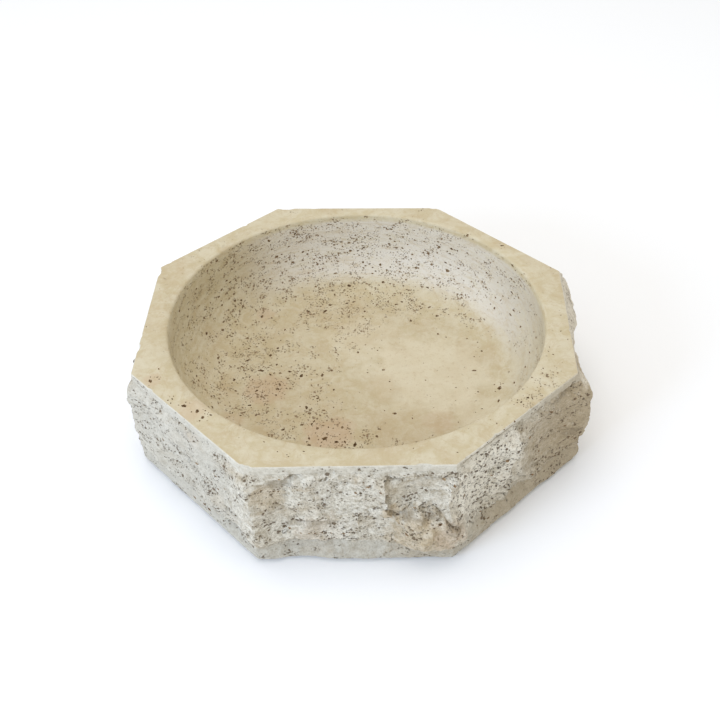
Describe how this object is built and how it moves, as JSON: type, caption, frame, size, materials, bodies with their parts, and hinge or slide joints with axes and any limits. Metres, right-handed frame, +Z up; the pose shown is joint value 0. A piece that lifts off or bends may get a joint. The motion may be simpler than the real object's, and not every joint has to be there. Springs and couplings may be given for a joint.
{
  "type": "octagonal stone bowl",
  "caption": "Shallow octagonal travertine bowl with a turned round hollow, a honed rim and rough split sides, standing on felt feet.",
  "frame": {"origin": "on the surface that the bowl stands on, under the middle of the block's outline", "axes": "+Z up, out of the hollow; -Y towards the front side; +X to the right of it"},
  "size_m": [0.3217, 0.316, 0.08],
  "materials": {
    "travertine": "matte",
    "felt": "matte",
    "adhesive": "satin"
  },
  "bodies": {
    "root": {"stone_body": "travertine", "felt_foot_front_left": "felt", "felt_foot_front_right": "felt", "felt_foot_back_right": "felt", "felt_foot_back_left": "felt", "adhesive_film_front_left": "adhesive", "adhesive_film_front_right": "adhesive", "adhesive_film_back_right": "adhesive", "adhesive_film_back_left": "adhesive"}
  },
  "joints": []
}
